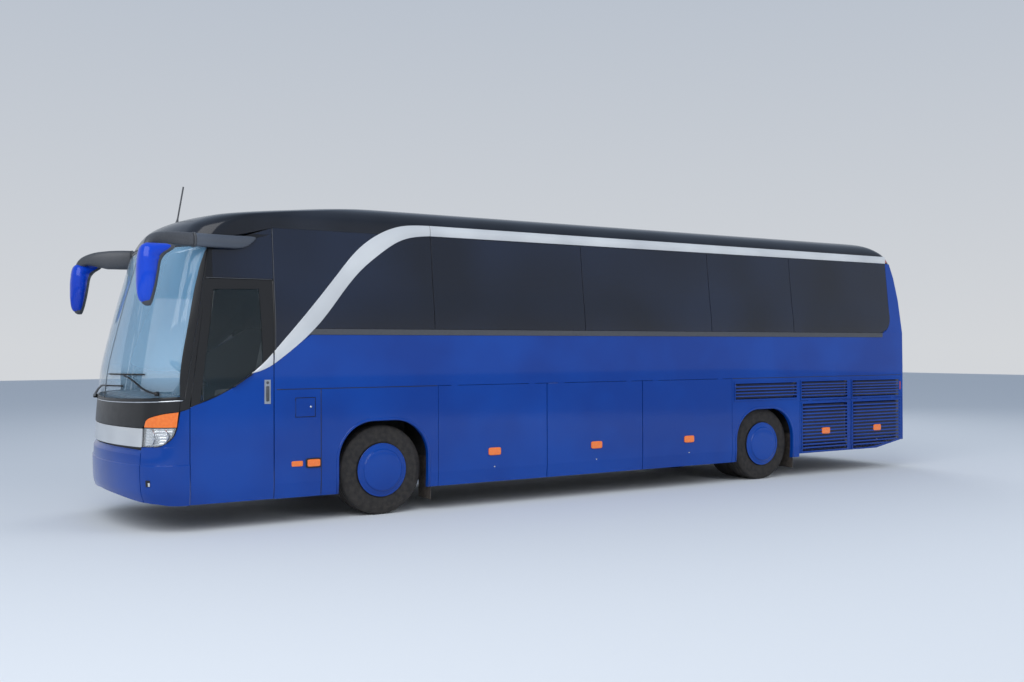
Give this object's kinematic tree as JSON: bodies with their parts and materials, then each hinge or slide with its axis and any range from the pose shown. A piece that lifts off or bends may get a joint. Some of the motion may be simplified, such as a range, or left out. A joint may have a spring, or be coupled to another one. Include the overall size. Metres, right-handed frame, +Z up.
{
  "type": "coach bus",
  "caption": "High-floor two-axle coach bus with glazed flanks, swinging doors, louvred flaps, luggage bays and mirror arms; hollow saloon with seats and racks.",
  "frame": {"origin": "on the ground under the middle of the bus", "axes": "+Z up, the nose faces -Y, the driver's side is +X, the passenger doors are on -X"},
  "size_m": [3.4602, 12.21, 3.7686],
  "materials": {
    "paint_blue": "gloss paint",
    "paint_charcoal": "gloss paint",
    "paint_silver": "metallic paint",
    "glass_tinted": "tinted",
    "glass_screen": "clear, lightly tinted",
    "steel_dark": "dark coated",
    "rim_paint": "gloss paint",
    "tyre": "matt",
    "lamp_clear": "clear cover",
    "lamp_amber": "moulded",
    "lamp_red": "moulded",
    "plastic_dark": "fine grain",
    "mirror_shell": "gloss",
    "rubber_flap": "matt",
    "floor_grey": "ribbed mat",
    "seat_fabric": "woven"
  },
  "bodies": {
    "root": {"aerial": "plastic_dark", "amber_lamps": "lamp_amber", "dashboard": "plastic_dark", "driver_seat": "seat_fabric", "engine_block": "steel_dark", "floor_deck": "floor_grey", "front_axle": "steel_dark", "front_bumper": "paint_blue", "headlamps": "lamp_clear", "luggage_racks": "plastic_dark", "mirror_arms": "plastic_dark", "mirror_heads": "mirror_shell", "mud_flaps": "rubber_flap", "nose_frame": "paint_blue", "rear_axle": "steel_dark", "roof_shell": "paint_charcoal", "seat_backs": "seat_fabric", "seat_cushions": "seat_fabric", "seat_legs": "steel_dark", "side_bands": "paint_silver", "side_wall_left": "paint_blue", "side_wall_right": "paint_blue", "steering_wheel": "plastic_dark", "tail_lamps": "lamp_red", "tail_wall": "paint_blue", "tow_socket": "steel_dark", "underframe": "steel_dark", "wheel_housings": "steel_dark", "window_glass": "glass_tinted", "windscreen": "glass_screen", "wipers": "plastic_dark"},
    "knuckle_left": {"knuckle_left": "steel_dark"},
    "wheel_front_left": {"tyre_front_left": "tyre", "rim_front_left": "rim_paint"},
    "wheel_rear_left": {"tyres_rear_left": "tyre", "rims_rear_left": "rim_paint"},
    "knuckle_right": {"knuckle_right": "steel_dark"},
    "wheel_front_right": {"tyre_front_right": "tyre", "rim_front_right": "rim_paint"},
    "wheel_rear_right": {"tyres_rear_right": "tyre", "rims_rear_right": "rim_paint"},
    "driver_door": {"driver_door": "paint_blue", "driver_door_glass": "glass_screen"},
    "front_door_arm": {"front_door_arm": "steel_dark"},
    "front_door": {"front_door": "paint_blue", "front_door_glass": "glass_screen"},
    "mid_door_arm": {"mid_door_arm": "steel_dark"},
    "mid_door": {"mid_door": "paint_blue", "mid_door_glass": "glass_screen"},
    "luggage_flap_left_1": {"luggage_flap_left_1": "paint_blue"},
    "luggage_flap_right_1": {"luggage_flap_right_1": "paint_blue"},
    "luggage_flap_left_2": {"luggage_flap_left_2": "paint_blue"},
    "luggage_flap_right_2": {"luggage_flap_right_2": "paint_blue"},
    "luggage_flap_left_3": {"luggage_flap_left_3": "paint_blue"},
    "service_flap_left_1": {"service_flap_left_1": "paint_blue"},
    "service_flap_right_1": {"service_flap_right_1": "paint_blue"},
    "service_flap_left_2": {"service_flap_left_2": "paint_blue"},
    "service_flap_right_2": {"service_flap_right_2": "paint_blue"},
    "fuel_flap": {"fuel_flap": "paint_blue"},
    "engine_lid": {"engine_lid": "paint_blue"}
  },
  "joints": [
    {"name": "steer_left", "type": "hinge", "parent": "root", "child": "knuckle_left", "pos_m": [0.98, -3.26, 0.515], "axis": [0, 0, 1], "range_deg": [-40, 40]},
    {"name": "spin_front_left", "type": "hinge", "parent": "knuckle_left", "child": "wheel_front_left", "pos_m": [1.055, -3.26, 0.515], "axis": [1, 0, 0], "continuous": true},
    {"name": "spin_rear_left", "type": "hinge", "parent": "root", "child": "wheel_rear_left", "pos_m": [1.055, 2.82, 0.515], "axis": [1, 0, 0], "continuous": true},
    {"name": "steer_right", "type": "hinge", "parent": "root", "child": "knuckle_right", "pos_m": [-0.98, -3.26, 0.515], "axis": [0, 0, 1], "range_deg": [-40, 40]},
    {"name": "spin_front_right", "type": "hinge", "parent": "knuckle_right", "child": "wheel_front_right", "pos_m": [-1.055, -3.26, 0.515], "axis": [1, 0, 0], "continuous": true},
    {"name": "spin_rear_right", "type": "hinge", "parent": "root", "child": "wheel_rear_right", "pos_m": [-1.055, 2.82, 0.515], "axis": [1, 0, 0], "continuous": true},
    {"name": "driver_door_hinge", "type": "hinge", "parent": "root", "child": "driver_door", "pos_m": [1.275, -5.48, 1], "axis": [0, 0, 1], "range_deg": [-80, 0]},
    {"name": "front_door_swing", "type": "hinge", "parent": "root", "child": "front_door_arm", "pos_m": [-1.159, -5.425, 1], "axis": [0, 0, -1], "range_deg": [-100, 0]},
    {"name": "front_door_follow", "type": "hinge", "parent": "front_door_arm", "child": "front_door", "pos_m": [-1.159, -4.905, 0.9], "axis": [0, 0, 1], "range_deg": [-100, 0]},
    {"name": "mid_door_swing", "type": "hinge", "parent": "root", "child": "mid_door_arm", "pos_m": [-1.159, 0.675, 1], "axis": [0, 0, -1], "range_deg": [-100, 0]},
    {"name": "mid_door_follow", "type": "hinge", "parent": "mid_door_arm", "child": "mid_door", "pos_m": [-1.159, 1.125, 0.9], "axis": [0, 0, 1], "range_deg": [-100, 0]},
    {"name": "luggage_flap_left_1_hinge", "type": "hinge", "parent": "root", "child": "luggage_flap_left_1", "pos_m": [1.275, -1.7815, 1.4648], "axis": [0, -1, 0], "range_deg": [0, 90]},
    {"name": "luggage_flap_right_1_hinge", "type": "hinge", "parent": "root", "child": "luggage_flap_right_1", "pos_m": [-1.275, -1.7815, 1.4648], "axis": [0, 1, 0], "range_deg": [0, 90]},
    {"name": "luggage_flap_left_2_hinge", "type": "hinge", "parent": "root", "child": "luggage_flap_left_2", "pos_m": [1.275, -0.2315, 1.4648], "axis": [0, -1, 0], "range_deg": [0, 90]},
    {"name": "luggage_flap_right_2_hinge", "type": "hinge", "parent": "root", "child": "luggage_flap_right_2", "pos_m": [-1.275, -0.2315, 1.4648], "axis": [0, 1, 0], "range_deg": [0, 90]},
    {"name": "luggage_flap_left_3_hinge", "type": "hinge", "parent": "root", "child": "luggage_flap_left_3", "pos_m": [1.275, 1.355, 1.4648], "axis": [0, -1, 0], "range_deg": [0, 90]},
    {"name": "service_flap_left_1_hinge", "type": "hinge", "parent": "root", "child": "service_flap_left_1", "pos_m": [1.275, 4.085, 1.1098], "axis": [0, -1, 0], "range_deg": [0, 90]},
    {"name": "service_flap_right_1_hinge", "type": "hinge", "parent": "root", "child": "service_flap_right_1", "pos_m": [-1.275, 4.085, 1.1098], "axis": [0, 1, 0], "range_deg": [0, 90]},
    {"name": "service_flap_left_2_hinge", "type": "hinge", "parent": "root", "child": "service_flap_left_2", "pos_m": [1.275, 5.25, 1.1098], "axis": [0, -1, 0], "range_deg": [0, 90]},
    {"name": "service_flap_right_2_hinge", "type": "hinge", "parent": "root", "child": "service_flap_right_2", "pos_m": [-1.275, 5.25, 1.1098], "axis": [0, 1, 0], "range_deg": [0, 90]},
    {"name": "fuel_flap_hinge", "type": "hinge", "parent": "root", "child": "fuel_flap", "pos_m": [1.275, -4.327, 1.2655], "axis": [0, 0, -1], "range_deg": [0, 90]},
    {"name": "engine_lid_hinge", "type": "hinge", "parent": "root", "child": "engine_lid", "pos_m": [0, 6.1, 1.7], "axis": [1, 0, 0], "range_deg": [0, 80]}
  ],
  "couplings": [
    {"joint": "steer_right", "follows": "steer_left", "ratio": 1},
    {"joint": "front_door_follow", "follows": "front_door_swing", "ratio": 1},
    {"joint": "mid_door_follow", "follows": "mid_door_swing", "ratio": 1}
  ]
}
